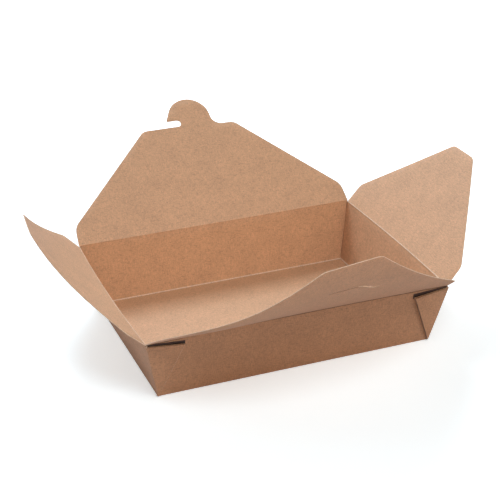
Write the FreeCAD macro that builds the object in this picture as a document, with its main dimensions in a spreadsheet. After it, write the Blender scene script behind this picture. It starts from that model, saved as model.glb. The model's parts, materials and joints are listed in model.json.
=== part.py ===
import FreeCAD, Part
import math
import os
import Sketcher

# Takeaway box folded from one die-cut blank of board: a sloping tray and four flaps.
# Lengths are in mm; +X runs along the long side, -Y is the front, +Z is up.
# The origin is at the centre of the underside of the base.

doc = FreeCAD.newDocument("takeaway_box")
sizes = doc.addObject("Spreadsheet::Sheet", "sizes")

ROWS = [
    ("board", "0.45", "thickness of the board"),
    ("base_length", "196.85", "long side of the base"),
    ("base_width", "139.7", "short side of the base"),
    ("wall_spread", "9.525", "outward run of each wall from the base to the folds of the rim"),
    ("fold_height", "45.1", "height of the folds of the long flaps"),
    ("end_fold_drop", "0.8", "the end flaps fold this much lower, so that they lie under the long ones"),
    ("fold_gap", "0.55", "the walls stop this far below the line that a flap turns about"),
    ("pan_height", "1.2", "height at which the walls part into their layers"),
    ("base_bend", "0.7", "outer radius of the folds round the base"),
    ("base_bend_in", "0.25", "inner radius of the folds round the base"),
    ("fold_flat", "0.3", "flattened edge of a pressed fold"),
    ("web_gap", "0.25", "air between the layers of a folded corner web"),
    ("seam_gap", "0.3", "air between the end of a long wall and the end wall"),
    ("web_foot", "2.4", "length of the web layers at the foot of the wall"),
    ("web_reach", "27.7", "length of the web layers at the rim"),
    ("web_cut_inset", "2.25", "the slanting top of the webs starts this far inside their slanting fold"),
    ("web_cut_drop", "4.7", "how far down the wall from the rim it starts"),
    ("web_cut_past", "1.55", "it ends this far outside the rim"),
    ("web_cut_end_drop", "1.1", "how far down the wall from the rim it ends"),
    ("long_inset", "0.55", "the folds of the long flaps end this far inside the rim"),
    ("long_taper", "1", "a long flap is this much narrower on each side where its corners start"),
    ("long_side_up", "14.6", "height on a long flap where its corners start"),
    ("end_inset", "1.075", "the folds of the end flaps end this far inside the rim"),
    ("end_taper", "0.6", "an end flap is this much narrower on each side where its corners start"),
    ("end_side_up", "15.7", "height on an end flap where its corners start"),
    ("side_round", "12", "rounding between the side of a flap and its slanting side"),
    ("tip_round", "8", "rounding at the free edge of a long flap"),
    ("end_tip_round", "7", "rounding at the free edge of an end flap"),
    ("back_reach", "83.3", "height of the back flap to the right of its hook"),
    ("back_step", "2.2", "the back flap is this much higher to the left of its hook"),
    ("back_corner_left", "35.5", "left end of the free edge of the back flap, from the middle"),
    ("back_corner_right", "37.7", "right end of the free edge of the back flap, from the middle"),
    ("hook_centre", "4", "centre of the round head of the hook, along the fold"),
    ("hook_rise", "8.7", "centre of the round head, above the free edge to its right"),
    ("hook_radius", "16.7", "radius of the round head"),
    ("hook_tip", "-15.2", "place of the barb of the hook, along the fold"),
    ("hook_tip_round", "0.9", "rounding of the barb"),
    ("notch_end", "-6.9", "centre of the round end of the notch under the barb"),
    ("notch_radius", "2.75", "half width of the notch"),
    ("hook_root", "8.2", "hollow rounding between the hook and the free edge"),
    ("front_length", "101.2", "height of the front flap, along the board"),
    ("front_corner", "19.8", "half width of the free edge of the front flap"),
    ("front_near_length", "50", "length of its gentle bend next to the fold"),
    ("front_near_radius", "261", "radius of that bend"),
    ("front_far_radius", "140", "radius of the bend from there to the free edge"),
    ("front_twist", "6.1", "degrees by which each end of the front flap is turned about its fold"),
    ("end_length", "80", "height of the end flaps, along the board"),
    ("end_corner", "13.4", "half width of the free edge of an end flap"),
    ("left_near_length", "40", "length of the gentle bend of the left flap next to its fold"),
    ("left_near_radius", "975", "radius of that bend"),
    ("left_far_radius", "135", "radius of the bend from there to the free edge"),
    ("slit_width", "0.5", "width of the locking slit"),
    ("slit_play", "2.05", "the slit starts this far to the left of the neck of the hook"),
    ("slit_past", "10", "its straight part ends this far to the right of the middle of the hook"),
    ("slit_curve", "18.4", "length of its curved part, along the fold"),
    ("slit_drop", "9.4", "how far the curved part comes down towards the fold"),
    ("slit_short", "6.2", "the closed flaps have the slit this far in front of the foot of the hook"),
    ("front_lean", "59.6", "degrees that the front flap leans out from the vertical at its fold"),
    ("back_lean", "50.5", "degrees that the back flap leans out"),
    ("left_lean", "45.8", "degrees that the left flap leans out at its fold"),
    ("right_lean", "42.5", "degrees that the right flap leans out"),
    ("blank_margin", "3", "board left over beside a bent flap before it is cut"),
    ("bend_margin", "4", "board left over past its free edge"),
    ("trim_margin", "6", "cutters reach this far past the board"),
    ("wall_slope", "=wall_spread / fold_height", "outward run of a wall per mm of height"),
    ("wall_lean", "=atan(wall_slope) / 1deg", "degrees that the walls lean out"),
    ("wall_along", "=fold_height * sqrt(1 + wall_slope ^ 2)", "height of the folds, measured up the wall"),
    ("board_level", "=board * sqrt(1 + wall_slope ^ 2)", "thickness of a leaning wall, cut level"),
    ("half_board", "=board / 2", ""),
    ("root_flat", "=half_board * sqrt(0.5)", "corners of the rounded edge of the board along a fold"),
    ("rim_length", "=base_length + 2 * wall_spread", "long side over the folds of the rim"),
    ("rim_width", "=base_width + 2 * wall_spread", "short side over the folds of the rim"),
    ("wall_top", "=fold_height - fold_gap", "top of the long walls"),
    ("end_fold_height", "=fold_height - end_fold_drop", "height of the folds of the end flaps"),
    ("end_wall_top", "=end_fold_height - fold_gap", "top of the end walls"),
    ("long_fold_out", "=rim_width / 2 - board_level / 2", "fold lines of the long flaps from the middle"),
    ("end_fold_out", "=rim_length / 2 - end_fold_drop * wall_slope - board_level / 2", "the same, end flaps"),
    ("half_base_length", "=base_length / 2", ""),
    ("half_base_width", "=base_width / 2", ""),
    ("low_length", "=base_length / 2 + wall_slope * pan_height", "half length where the layers start"),
    ("low_width", "=base_width / 2 + wall_slope * pan_height", "half width where the layers start"),
    ("top_length", "=base_length / 2 + wall_slope * wall_top", "half length at the top of the long walls"),
    ("top_width", "=base_width / 2 + wall_slope * wall_top", "half width at the top of the long walls"),
    ("low_seam", "=low_length - 2 * board_level - seam_gap", "fold from long wall to web"),
    ("top_seam", "=top_length - 2 * board_level - seam_gap", ""),
    ("low_web", "=low_length - web_foot", "slanting fold of the web"),
    ("top_web", "=top_length - web_reach", ""),
    ("web_plane", "=half_base_width + web_gap / 2 * sqrt(1 + wall_slope ^ 2)", "plane just off the wall"),
    ("web_cut_inner", "=rim_length / 2 - web_reach - web_cut_inset", "ends of the slanting top of the webs"),
    ("web_cut_inner_up", "=wall_along - web_cut_drop", ""),
    ("web_cut_outer", "=rim_length / 2 + web_cut_past", ""),
    ("web_cut_outer_up", "=wall_along - web_cut_end_drop", ""),
    ("web_cut_above", "=wall_along + trim_margin", ""),
    ("pan_in_length", "=half_base_length + wall_slope * board - board_level", "inside of the base"),
    ("pan_in_width", "=half_base_width + wall_slope * board - board_level", ""),
    ("low_in_length", "=low_length - board_level", ""),
    ("low_in_width", "=low_width - board_level", ""),
    ("end_cut_low", "=half_base_length + wall_slope * end_wall_top - board_level - seam_gap / 2", ""),
    ("end_cut_high", "=half_base_length + wall_slope * fold_height - board_level - seam_gap / 2", ""),
    ("end_cut_far", "=rim_length / 2 + trim_margin", ""),
    ("long_half", "=rim_length / 2 - long_inset", "half width of a long flap at its fold"),
    ("long_side", "=long_half - long_taper", "half width of a long flap where its corners start"),
    ("end_half", "=rim_width / 2 - end_inset", "half width of an end flap at its fold"),
    ("end_side", "=end_half - end_taper", "half width of an end flap where its corners start"),
    ("back_left_reach", "=back_reach + back_step", "height of the back flap to the left of its hook"),
    ("hook_centre_up", "=back_reach + hook_rise", ""),
    ("front_near_turn", "=front_near_length / front_near_radius * 180 / pi", "degrees, gentle bend"),
    ("front_far_length", "=front_length - front_near_length", "length of its tighter bend"),
    ("front_end_turn", "=front_near_turn + front_far_length / front_far_radius * 180 / pi", ""),
    ("front_far_turn", "=(front_far_length + bend_margin) / front_far_radius * 180 / pi", ""),
    ("front_near_run", "=(front_near_radius - front_far_radius) * sin(front_near_turn * 1deg)", ""),
    ("front_near_rise", "=(front_near_radius - front_far_radius) * (1 - cos(front_near_turn * 1deg))", ""),
    ("front_run", "=front_near_run + front_far_radius * sin(front_end_turn * 1deg)", "place of its free edge"),
    ("front_rise", "=front_near_rise + front_far_radius * (1 - cos(front_end_turn * 1deg))", ""),
    ("front_chord", "=atan(front_rise / front_run) / 1deg", "degrees from the fold end to the chord"),
    ("front_reach", "=sqrt(front_run ^ 2 + front_rise ^ 2)", "chord of the front flap"),
    ("left_near_turn", "=left_near_length / left_near_radius * 180 / pi", "degrees, gentle bend"),
    ("left_far_length", "=end_length - left_near_length", "length of its tighter bend"),
    ("left_end_turn", "=left_near_turn + left_far_length / left_far_radius * 180 / pi", ""),
    ("left_far_turn", "=(left_far_length + bend_margin) / left_far_radius * 180 / pi", ""),
    ("left_near_run", "=(left_near_radius - left_far_radius) * sin(left_near_turn * 1deg)", ""),
    ("left_near_rise", "=(left_near_radius - left_far_radius) * (1 - cos(left_near_turn * 1deg))", ""),
    ("left_run", "=left_near_run + left_far_radius * sin(left_end_turn * 1deg)", "place of its free edge"),
    ("left_rise", "=left_near_rise + left_far_radius * (1 - cos(left_end_turn * 1deg))", ""),
    ("left_chord", "=atan(left_rise / left_run) / 1deg", "degrees from the fold end to the chord"),
    ("left_reach", "=sqrt(left_run ^ 2 + left_rise ^ 2)", "chord of the left flap"),
    ("front_outer_near", "=front_near_radius + board / 2", ""),
    ("front_outer_far", "=front_far_radius + board / 2", ""),
    ("left_outer_near", "=left_near_radius + board / 2", ""),
    ("left_outer_far", "=left_far_radius + board / 2", ""),
    ("long_blank_half", "=long_half + blank_margin", ""),
    ("end_blank_half", "=end_half + blank_margin", ""),
    ("long_blank_far", "=front_reach + 2 * trim_margin", ""),
    ("end_blank_far", "=left_reach + 2 * trim_margin", ""),
    ("outline_half_long", "=long_blank_half + blank_margin", ""),
    ("outline_half_end", "=end_blank_half + blank_margin", ""),
    ("slit_start", "=slit_play - notch_end - notch_radius", "left end of the slit, along the fold"),
    ("slit_bend", "=-hook_centre - slit_past", "end of the straight part of the slit"),
    ("slit_end", "=slit_bend - slit_curve", "right end of the slit"),
    ("slit_up", "=2 * long_fold_out - back_left_reach - slit_short", "its distance from the fold"),
    ("slit_end_up", "=slit_up - slit_drop", "distance of the right end from the fold"),
    ("slit_low", "=slit_up - slit_width / 2", ""),
    ("slit_high", "=slit_up + slit_width / 2", ""),
    ("slit_depth", "=2 * trim_margin", "half depth of the cutter for the slit"),
]

for number, (alias, content, note) in enumerate(ROWS, start=1):
    sizes.set(f"A{number}", alias)
    sizes.set(f"B{number}", content)
    sizes.set(f"C{number}", note)
    sizes.setAlias(f"B{number}", alias)
doc.recompute()


# The value of a size; a leading minus gives its negative
def size(name):
    if name == "0":
        return 0.0
    if name.startswith("-"):
        return -size(name[1:])
    value = sizes.get(name)
    return float(getattr(value, "Value", value))


def bound(name):
    if name.startswith("-"):
        return f"-sizes.{name[1:]}"
    return f"sizes.{name}"


def new_body(name):
    body = doc.addObject("PartDesign::Body", name)
    body.Label = name
    return body


# A sketch on a plane of the body, lifted off it and turned in it or about its level line
def new_sketch(body, plane, name, lift="0", turn="0", tilt="0"):
    sketch = body.newObject("Sketcher::SketchObject", name)
    for feature in body.Origin.OriginFeatures:
        if feature.Role == plane:
            sketch.AttachmentSupport = [(feature, "")]
    sketch.MapMode = "FlatFace"
    terms = [part if part == "0" else bound(part) for part in (lift, turn, tilt)]
    sketch.setExpression(
        "AttachmentOffset",
        f"placement(vector(0; 0; {terms[0]}); rotation({terms[1]}; 0; {terms[2]}))",
    )
    return sketch


def add_size(sketch, kind, places, name, degrees=False):
    value = math.radians(size(name)) if degrees else size(name)
    index = sketch.addConstraint(Sketcher.Constraint(kind, *places, value))
    unit = " * 1deg" if degrees else ""
    sketch.setExpression(f"Constraints[{index}]", bound(name) + unit)


# Places a point at a named distance from the two axes of its sketch
def place_point(sketch, geometry, point, across, up):
    if across == "0":
        sketch.addConstraint(Sketcher.Constraint("PointOnObject", geometry, point, -2))
    elif across:
        add_size(sketch, "DistanceX", (-1, 1, geometry, point), across)
    if up == "0":
        sketch.addConstraint(Sketcher.Constraint("PointOnObject", geometry, point, -1))
    elif up:
        add_size(sketch, "DistanceY", (-1, 1, geometry, point), up)


def vector(across, up):
    return FreeCAD.Vector(across, up, 0)


def add_line(sketch, start, end):
    return sketch.addGeometry(Part.LineSegment(vector(*start), vector(*end)), False)


def add_arc(sketch, centre, radius, first, last):
    circle = Part.Circle(vector(*centre), FreeCAD.Vector(0, 0, 1), radius)
    return sketch.addGeometry(Part.ArcOfCircle(circle, math.radians(first), math.radians(last)), False)


def join(sketch, first, first_end, second, second_end, kind="Coincident"):
    sketch.addConstraint(Sketcher.Constraint(kind, first, first_end, second, second_end))


# A closed outline of straight lines through named corners
def add_polygon(sketch, corners):
    points = [(size(across), size(up)) for across, up in corners]
    lines = []
    for index, start in enumerate(points):
        lines.append(add_line(sketch, start, points[(index + 1) % len(points)]))
    for index, line in enumerate(lines):
        join(sketch, line, 2, lines[(index + 1) % len(lines)], 1)
        place_point(sketch, line, 1, *corners[index])
    return lines


# The same with some corners rounded: each corner has its place and the name of its rounding
def add_rounded(sketch, corners):
    points = [vector(size(across), size(up)) for across, up, rounding in corners]
    count = len(points)
    starts = list(points)
    ends = list(points)
    arcs = {}
    for index, (across, up, rounding) in enumerate(corners):
        if not rounding:
            continue
        corner = points[index]
        back = (points[index - 1] - corner).normalize()
        ahead = (points[(index + 1) % count] - corner).normalize()
        half_angle = back.getAngle(ahead) / 2
        radius = size(rounding)
        ends[index] = corner + back * (radius / math.tan(half_angle))
        starts[index] = corner + ahead * (radius / math.tan(half_angle))
        centre = corner + (back + ahead).normalize() * (radius / math.sin(half_angle))
        middle = centre + (corner - centre).normalize() * radius
        arcs[index] = (Part.Arc(ends[index], middle, starts[index]), centre)
    lines = []
    for index in range(count):
        lines.append(sketch.addGeometry(Part.LineSegment(starts[index], ends[(index + 1) % count]), False))
    for index, (across, up, rounding) in enumerate(corners):
        before = lines[index - 1]
        after = lines[index]
        if not rounding:
            join(sketch, before, 2, after, 1)
            place_point(sketch, after, 1, across, up)
            continue
        arc, centre = arcs[index]
        bend = sketch.addGeometry(arc, False)
        arc_start = sketch.getPoint(bend, 1)
        first, last = (1, 2) if arc_start.distanceToPoint(ends[index]) < 0.001 else (2, 1)
        corner = sketch.addGeometry(Part.Point(points[index]), True)
        join(sketch, before, 2, bend, first, kind="Tangent")
        join(sketch, bend, last, after, 1, kind="Tangent")
        add_size(sketch, "Radius", (bend,), rounding)
        for line in (before, after):
            sketch.addConstraint(Sketcher.Constraint("PointOnObject", corner, 1, line))
        place_point(sketch, corner, 1, across, up)


def loft(body, kind, name, first, second):
    feature = body.newObject(kind, name)
    feature.Profile = (first, [""])
    feature.Sections = [(second, [""])]
    feature.Ruled = True
    return feature


def pad(body, sketch, name, length):
    feature = body.newObject("PartDesign::Pad", name)
    feature.Profile = (sketch, [""])
    feature.SideType = "Symmetric"
    feature.setExpression("Length", length)
    return feature


def cut_through(body, sketch, name):
    feature = body.newObject("PartDesign::Pocket", name)
    feature.Profile = (sketch, [""])
    feature.Type = "ThroughAll"
    feature.SideType = "Symmetric"
    return feature


# Rounds the edges that a test picks out
def round_edges(body, base, name, radius, wanted):
    doc.recompute()
    names = [f"Edge{i}" for i, edge in enumerate(base.Shape.Edges, start=1) if wanted(edge)]
    feature = body.newObject("PartDesign::Fillet", name)
    feature.Base = (base, names)
    feature.setExpression("Radius", bound(radius))
    doc.recompute()
    return feature


# Edges through the board at given corners of an outline, seen along the plane of the outline
def at_corners(plane, corners):
    flat = plane.inverse()
    points = [(size(across), size(up)) for across, up in corners]
    near = size("half_board")

    def wanted(edge):
        ends = [flat.multVec(vertex.Point) for vertex in edge.Vertexes]
        if len(ends) < 2:
            return False
        for x, y in points:
            if all(abs(end.x - x) < near and abs(end.y - y) < near for end in ends):
                return True
        return False

    return wanted


# Level section of a quarter of the walls: long wall, two layers of web, end wall
def draw_walls(sketch, length, width, seam, web):
    level = size("board_level")
    gap = size("web_gap")
    flat = size("fold_flat")
    face = -size(width)
    inside = face + level
    under_web = face - gap
    web_fold = under_web - level
    over_web = web_fold - gap
    outside = over_web - level
    end_out = size(length)
    end_in = end_out - level
    seam_in = size(seam)
    seam_out = seam_in + level
    web_out = size(web)
    web_in = web_out + level
    corners = [
        (0, face), (seam_in, face), (seam_in, under_web), (web_out + flat, under_web),
        (web_out, under_web - flat), (web_out, outside + flat), (web_out + flat, outside),
        (end_out - flat, outside), (end_out, outside + flat), (end_out, 0), (end_in, 0),
        (end_in, over_web), (web_in, over_web), (web_in, web_fold), (seam_out - flat, web_fold),
        (seam_out, web_fold + flat), (seam_out, inside - flat), (seam_out - flat, inside), (0, inside),
    ]
    count = len(corners)
    lines = [add_line(sketch, corners[i], corners[(i + 1) % count]) for i in range(count)]
    (wall_out, seam_slot, layer_in, web_flat_in, web_edge, web_flat_out, layer_out, corner_flat,
     end_outside, end_close, end_inside, layer_back, web_slot, layer_front, seam_flat_in, seam_edge,
     seam_flat_out, wall_in, wall_close) = lines
    for first, second in zip(lines, lines[1:] + lines[:1]):
        join(sketch, first, 2, second, 1)
    for line in (wall_out, layer_in, layer_out, end_close, layer_back, layer_front, wall_in):
        sketch.addConstraint(Sketcher.Constraint("Horizontal", line))
    for line in (seam_slot, web_edge, end_outside, end_inside, web_slot, seam_edge, wall_close):
        sketch.addConstraint(Sketcher.Constraint("Vertical", line))
    for line in (corner_flat, seam_flat_in):
        add_size(sketch, "DistanceX", (line, 1, line, 2), "fold_flat")
        add_size(sketch, "DistanceY", (line, 1, line, 2), "fold_flat")
    add_size(sketch, "DistanceX", (web_flat_in, 2, web_flat_in, 1), "fold_flat")
    add_size(sketch, "DistanceY", (web_flat_in, 2, web_flat_in, 1), "fold_flat")
    add_size(sketch, "DistanceX", (web_flat_out, 1, web_flat_out, 2), "fold_flat")
    add_size(sketch, "DistanceY", (web_flat_out, 2, web_flat_out, 1), "fold_flat")
    add_size(sketch, "DistanceX", (seam_flat_out, 2, seam_flat_out, 1), "fold_flat")
    add_size(sketch, "DistanceY", (seam_flat_out, 1, seam_flat_out, 2), "fold_flat")
    add_size(sketch, "DistanceX", (wall_out, 2, seam_edge, 1), "board_level")
    add_size(sketch, "DistanceX", (web_edge, 1, web_slot, 1), "board_level")
    add_size(sketch, "DistanceX", (end_close, 2, end_close, 1), "board_level")
    add_size(sketch, "DistanceY", (wall_close, 2, wall_close, 1), "board_level")
    add_size(sketch, "DistanceY", (seam_slot, 2, seam_slot, 1), "web_gap")
    add_size(sketch, "DistanceY", (web_slot, 2, seam_slot, 2), "board_level")
    add_size(sketch, "DistanceY", (web_slot, 1, web_slot, 2), "web_gap")
    add_size(sketch, "DistanceY", (layer_out, 1, web_slot, 1), "board_level")
    place_point(sketch, wall_out, 1, "0", "-" + width)
    place_point(sketch, end_outside, 2, length, "0")
    place_point(sketch, wall_out, 2, seam, "")
    place_point(sketch, web_edge, 1, web, "")


# Side view of a bent flap: a rounded edge at the fold and two arcs that curl to the inside
def draw_curl(sketch, near_radius, near_turn, far_radius, far_turn, outer_near, outer_far):
    half = size("half_board")
    near = size(near_radius)
    far = size(far_radius)
    first = size(near_turn) - 90
    last = first + size(far_turn)
    reach = near - far
    heading = math.radians(first)
    middle = (reach * math.cos(heading), near + reach * math.sin(heading))
    tip = math.radians(last)
    tip_out = (middle[0] + (far + half) * math.cos(tip), middle[1] + (far + half) * math.sin(tip))
    tip_in = (middle[0] + (far - half) * math.cos(tip), middle[1] + (far - half) * math.sin(tip))

    out_near = add_arc(sketch, (0, near), near + half, -90, first)
    out_far = add_arc(sketch, middle, far + half, first, last)
    edge = add_line(sketch, tip_out, tip_in)
    in_far = add_arc(sketch, middle, far - half, first, last)
    in_near = add_arc(sketch, (0, near), near - half, -90, first)
    root_points = [
        ("0", "half_board"), ("-root_flat", "root_flat"), ("-half_board", "0"),
        ("-root_flat", "-root_flat"), ("0", "-half_board"),
    ]
    root = []
    for start, end in zip(root_points, root_points[1:]):
        root.append(add_line(sketch, (size(start[0]), size(start[1])), (size(end[0]), size(end[1]))))

    join(sketch, out_near, 2, out_far, 1, kind="Tangent")
    join(sketch, in_far, 1, in_near, 2, kind="Tangent")
    join(sketch, out_far, 2, edge, 1)
    join(sketch, edge, 2, in_far, 2)
    join(sketch, in_near, 1, root[0], 1)
    join(sketch, root[3], 2, out_near, 1)
    for first_line, second_line in zip(root, root[1:]):
        join(sketch, first_line, 2, second_line, 1)
    join(sketch, out_near, 3, in_near, 3)
    join(sketch, out_far, 3, in_far, 3)
    sketch.addConstraint(Sketcher.Constraint("PointOnObject", out_near, 3, -2))
    sketch.addConstraint(Sketcher.Constraint("PointOnObject", out_far, 3, edge))
    for line, corner in zip(root, root_points):
        place_point(sketch, line, 1, *corner)
    place_point(sketch, root[3], 2, *root_points[4])
    add_size(sketch, "Radius", (out_near,), outer_near)
    add_size(sketch, "Radius", (out_far,), outer_far)
    add_size(sketch, "Angle", (out_near,), near_turn, degrees=True)
    add_size(sketch, "Angle", (out_far,), far_turn, degrees=True)


# The root of a flat flap: the round edge of the board along its fold
def add_root(body, half_width):
    sketch = new_sketch(body, "YZ_Plane", "RootSection")
    ring = sketch.addGeometry(Part.Circle(vector(0, 0), FreeCAD.Vector(0, 0, 1), size("half_board")), False)
    join(sketch, ring, 3, -1, 1)
    add_size(sketch, "Radius", (ring,), "half_board")
    return pad(body, sketch, "Root", f"2 * sizes.{half_width}")


# Tray: base, four walls and four corner webs folded flat on the outside of the long walls
tray = new_body("tray")

low_section = new_sketch(tray, "XY_Plane", "WallSectionLow", lift="pan_height")
draw_walls(low_section, "low_length", "low_width", "low_seam", "low_web")
top_section = new_sketch(tray, "XY_Plane", "WallSectionTop", lift="wall_top")
draw_walls(top_section, "top_length", "top_width", "top_seam", "top_web")
walls = loft(tray, "PartDesign::AdditiveLoft", "Walls", low_section, top_section)

end_cut_sketch = new_sketch(tray, "XZ_Plane", "EndWallTopSketch")
add_polygon(end_cut_sketch, [
    ("end_cut_low", "end_wall_top"), ("end_cut_far", "end_wall_top"),
    ("end_cut_far", "fold_height"), ("end_cut_high", "fold_height"),
])
end_cut = cut_through(tray, end_cut_sketch, "EndWallTop")

web_cut_sketch = new_sketch(tray, "XZ_Plane", "WebTopSketch", lift="web_plane", tilt="wall_lean")
add_polygon(web_cut_sketch, [
    ("web_cut_inner", "web_cut_inner_up"), ("web_cut_outer", "web_cut_outer_up"),
    ("web_cut_outer", "web_cut_above"), ("web_cut_inner", "web_cut_above"),
])
web_cut = tray.newObject("PartDesign::Pocket", "WebTop")
web_cut.Profile = (web_cut_sketch, [""])
web_cut.Reversed = True
web_cut.setExpression("Length", "sizes.trim_margin")
doc.recompute()

quarters = tray.newObject("PartDesign::MultiTransform", "FourQuarters")
quarters.Originals = [walls, end_cut, web_cut]
mirrors = []
for plane_name in ("YZ_Plane", "XZ_Plane"):
    mirror = tray.newObject("PartDesign::Mirrored", "Mirror" + plane_name[:2])
    for origin_feature in tray.Origin.OriginFeatures:
        if origin_feature.Role == plane_name:
            mirror.MirrorPlane = (origin_feature, [""])
    mirrors.append(mirror)
quarters.Transformations = mirrors
tray.Tip = quarters
doc.recompute()


# A rectangle that widens on the way up, between two heights
def add_wedge(kind, name, low, low_length, low_width, high, high_length, high_width):
    wedge = tray.newObject(kind, name)
    for origin_feature in tray.Origin.OriginFeatures:
        if origin_feature.Role == "XZ_Plane":
            wedge.AttachmentSupport = [(origin_feature, "")]
    wedge.MapMode = "FlatFace"
    limits = {
        "Xmin": "-" + low_length, "Xmax": low_length, "Zmin": "-" + low_width, "Zmax": low_width,
        "X2min": "-" + high_length, "X2max": high_length, "Z2min": "-" + high_width, "Z2max": high_width,
        "Ymin": low, "Ymax": high,
    }
    for limit, name_of_size in limits.items():
        wedge.setExpression(limit, "0" if name_of_size == "0" else bound(name_of_size))
    return wedge


pan = add_wedge(
    "PartDesign::AdditiveWedge", "Pan", "0", "half_base_length", "half_base_width",
    "pan_height", "low_length", "low_width",
)
hollow = add_wedge(
    "PartDesign::SubtractiveWedge", "PanHollow", "board", "pan_in_length", "pan_in_width",
    "pan_height", "low_in_length", "low_in_width",
)


def on_underside(edge):
    return all(abs(vertex.Z) < 0.001 for vertex in edge.Vertexes)


def on_floor(edge):
    return all(abs(vertex.Z - size("board")) < 0.001 for vertex in edge.Vertexes)


folds_out = round_edges(tray, hollow, "BaseFoldsOutside", "base_bend", on_underside)
folds_in = round_edges(tray, folds_out, "BaseFoldsInside", "base_bend_in", on_floor)
tray.Tip = folds_in


# Back flap: flat, with the hook that locks into the front flap
back_flap = new_body("back_flap")
back_outline = new_sketch(back_flap, "XY_Plane", "Outline")


def draw_back_outline(sketch):
    left_up = size("back_left_reach")
    right_up = size("back_reach")
    notch = size("notch_radius")
    notch_x = size("notch_end")
    notch_top = left_up + 2 * notch
    tip_x = size("hook_tip")
    centre = (size("hook_centre"), size("hook_centre_up"))
    radius = size("hook_radius")
    root = size("hook_root")
    root_rise = right_up + root - centre[1]
    root_x = centre[0] + math.sqrt((radius + root) ** 2 - root_rise ** 2)
    root_angle = math.degrees(math.atan2(root_rise, root_x - centre[0]))
    tip_away = math.hypot(tip_x - centre[0], notch_top - centre[1])
    tip_angle = math.degrees(math.atan2(notch_top - centre[1], tip_x - centre[0])) % 360
    touch_angle = tip_angle - math.degrees(math.acos(radius / tip_away))
    touch = (
        centre[0] + radius * math.cos(math.radians(touch_angle)),
        centre[1] + radius * math.sin(math.radians(touch_angle)),
    )
    half = size("long_half")
    side = size("long_side")
    side_up = size("long_side_up")
    left_x = -size("back_corner_left")
    right_x = size("back_corner_right")

    fold = add_line(sketch, (half, 0), (-half, 0))
    left_side = add_line(sketch, (-half, 0), (-side, side_up))
    left_slant = add_line(sketch, (-side, side_up), (left_x, left_up))
    left_edge = add_line(sketch, (left_x, left_up), (notch_x, left_up))
    notch_round = add_arc(sketch, (notch_x, left_up + notch), notch, -90, 90)
    barb_under = add_line(sketch, (notch_x, notch_top), (tip_x, notch_top))
    barb = add_line(sketch, (tip_x, notch_top), touch)
    head = add_arc(sketch, centre, radius, root_angle, touch_angle)
    hollow_round = add_arc(sketch, (root_x, right_up + root), root, 180 + root_angle, 270)
    right_edge = add_line(sketch, (root_x, right_up), (right_x, right_up))
    right_slant = add_line(sketch, (right_x, right_up), (side, side_up))
    right_side = add_line(sketch, (side, side_up), (half, 0))

    sharp = [fold, left_side, left_slant, left_edge]
    for first, second in zip(sharp, sharp[1:]):
        join(sketch, first, 2, second, 1)
    join(sketch, left_edge, 2, notch_round, 1, kind="Tangent")
    join(sketch, notch_round, 2, barb_under, 1, kind="Tangent")
    join(sketch, barb_under, 2, barb, 1)
    join(sketch, barb, 2, head, 2, kind="Tangent")
    join(sketch, head, 1, hollow_round, 1, kind="Tangent")
    join(sketch, hollow_round, 2, right_edge, 1, kind="Tangent")
    join(sketch, right_edge, 2, right_slant, 1)
    join(sketch, right_slant, 2, right_side, 1)
    join(sketch, right_side, 2, fold, 1)
    for line in (left_edge, barb_under, right_edge):
        sketch.addConstraint(Sketcher.Constraint("Horizontal", line))
    place_point(sketch, fold, 1, "long_half", "0")
    place_point(sketch, fold, 2, "-long_half", "0")
    place_point(sketch, left_slant, 1, "-long_side", "long_side_up")
    place_point(sketch, left_edge, 1, "-back_corner_left", "back_left_reach")
    add_size(sketch, "Radius", (notch_round,), "notch_radius")
    place_point(sketch, notch_round, 3, "notch_end", "")
    place_point(sketch, barb, 1, "hook_tip", "")
    add_size(sketch, "Radius", (head,), "hook_radius")
    place_point(sketch, head, 3, "hook_centre", "hook_centre_up")
    add_size(sketch, "Radius", (hollow_round,), "hook_root")
    place_point(sketch, right_slant, 1, "back_corner_right", "back_reach")
    place_point(sketch, right_side, 1, "long_side", "long_side_up")
    return (tip_x, notch_top)


barb_point = draw_back_outline(back_outline)
back_panel = pad(back_flap, back_outline, "Panel", "sizes.board")
back_root = add_root(back_flap, "long_half")
flat_plane = FreeCAD.Placement()
back_sides = round_edges(back_flap, back_root, "SideRounds", "side_round", at_corners(
    flat_plane, [("-long_side", "long_side_up"), ("long_side", "long_side_up")],
))
back_tips = round_edges(back_flap, back_sides, "EdgeRounds", "tip_round", at_corners(
    flat_plane, [("-back_corner_left", "back_left_reach"), ("back_corner_right", "back_reach")],
))


def at_barb(edge):
    near = size("half_board")
    return len(edge.Vertexes) == 2 and all(
        abs(vertex.X - barb_point[0]) < near and abs(vertex.Y - barb_point[1]) < near
        for vertex in edge.Vertexes
    )


back_barb = round_edges(back_flap, back_tips, "BarbRound", "hook_tip_round", at_barb)
back_flap.Tip = back_barb


# Right flap: flat
right_flap = new_body("right_flap")
right_outline = new_sketch(right_flap, "XY_Plane", "Outline")
add_rounded(right_outline, [
    ("end_half", "0", ""), ("end_side", "end_side_up", "side_round"),
    ("end_corner", "end_length", "end_tip_round"), ("-end_corner", "end_length", "end_tip_round"),
    ("-end_side", "end_side_up", "side_round"), ("-end_half", "0", ""),
])
right_panel = pad(right_flap, right_outline, "Panel", "sizes.board")
right_root = add_root(right_flap, "end_half")
right_flap.Tip = right_root


# Trims a bent flap to its outline, seen square to its chord
def trim_flap(body, chord, outline, outer_half, outer_far):
    sketch = new_sketch(body, "XY_Plane", "Outline", tilt=chord)
    add_polygon(sketch, [
        ("-" + outer_half, "-blank_margin"), (outer_half, "-blank_margin"),
        (outer_half, outer_far), ("-" + outer_half, outer_far),
    ])
    add_rounded(sketch, outline)
    return cut_through(body, sketch, "Trim")


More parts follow.
